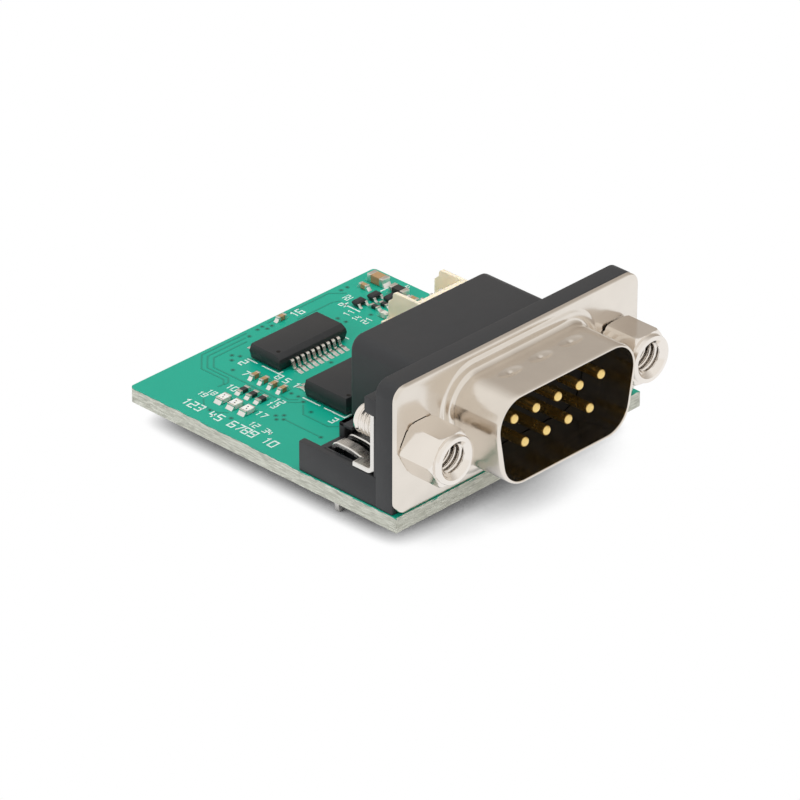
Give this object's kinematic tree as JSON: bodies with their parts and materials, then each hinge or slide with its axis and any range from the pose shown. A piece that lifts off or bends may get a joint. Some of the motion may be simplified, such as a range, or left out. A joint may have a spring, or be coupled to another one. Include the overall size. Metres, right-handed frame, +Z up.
{
  "type": "usb to serial adapter module",
  "caption": "Small circuit board with a right-angle serial plug, threaded jackscrews at its sides and a wire header, for turning a USB signal into serial inside a device.",
  "frame": {"origin": "centre of the plug on the front face of its metal flange", "axes": "+X to the right seen from the front, +Y back over the circuit board, +Z up; the plug faces -Y"},
  "size_m": [0.0313, 0.039, 0.0162],
  "materials": {
    "board_laminate": "green solder mask, semi-gloss, with bare pale laminate edges",
    "plug_nickel": "satin nickel-plated steel sheet",
    "insert_plastic": "matt black moulding",
    "housing_plastic": "fine-grained matt black moulding",
    "contact_gold": "gold-plated, smooth",
    "screw_nickel": "bright nickel-plated turned steel",
    "clip_tin": "bright tin-plated steel sheet",
    "header_nylon": "ivory nylon, slightly translucent",
    "header_pin_tin": "tin-plated brass",
    "chip_resin": "matt dark moulding resin",
    "lead_tin": "tin-plated leads",
    "capacitor_ceramic": "fired tan ceramic with tin end caps",
    "resistor_ceramic": "black glaze on white ceramic, tin end caps",
    "led_resin": "white resin, slightly translucent",
    "transistor_resin": "matt dark moulding resin",
    "bead_ferrite": "dark grey ferrite with tin end caps",
    "fuse_ceramic": "pale ceramic with tin end caps"
  },
  "bodies": {
    "root": {"circuit_board": "board_laminate", "plug_shell": "plug_nickel", "plug_insert": "insert_plastic", "plug_housing": "housing_plastic", "contact_1": "contact_gold", "contact_2": "contact_gold", "contact_3": "contact_gold", "contact_4": "contact_gold", "contact_5": "contact_gold", "contact_6": "contact_gold", "contact_7": "contact_gold", "contact_8": "contact_gold", "contact_9": "contact_gold", "jackscrew_left": "screw_nickel", "jackscrew_right": "screw_nickel", "ground_clip_left": "clip_tin", "ground_clip_right": "clip_tin", "header_housing": "header_nylon", "header_pin_1": "header_pin_tin", "header_pin_2": "header_pin_tin", "header_pin_3": "header_pin_tin", "header_pin_4": "header_pin_tin", "converter_body": "chip_resin", "transceiver_body": "chip_resin", "converter_leads": "lead_tin", "transceiver_leads": "lead_tin", "capacitor_1": "capacitor_ceramic", "capacitor_2": "capacitor_ceramic", "capacitor_3": "capacitor_ceramic", "capacitor_4": "capacitor_ceramic", "filter_capacitor": "capacitor_ceramic", "bulk_capacitor": "capacitor_ceramic", "side_capacitor": "capacitor_ceramic", "edge_capacitor": "capacitor_ceramic", "resistor_1": "resistor_ceramic", "resistor_2": "resistor_ceramic", "resistor_3": "resistor_ceramic", "rear_resistor_1": "resistor_ceramic", "rear_resistor_2": "resistor_ceramic", "led_1": "led_resin", "led_2": "led_resin", "led_3": "led_resin", "transistor_1": "transistor_resin", "transistor_2": "transistor_resin", "transistor_3": "transistor_resin", "ferrite_bead": "bead_ferrite", "fuse": "fuse_ceramic"}
  },
  "joints": []
}
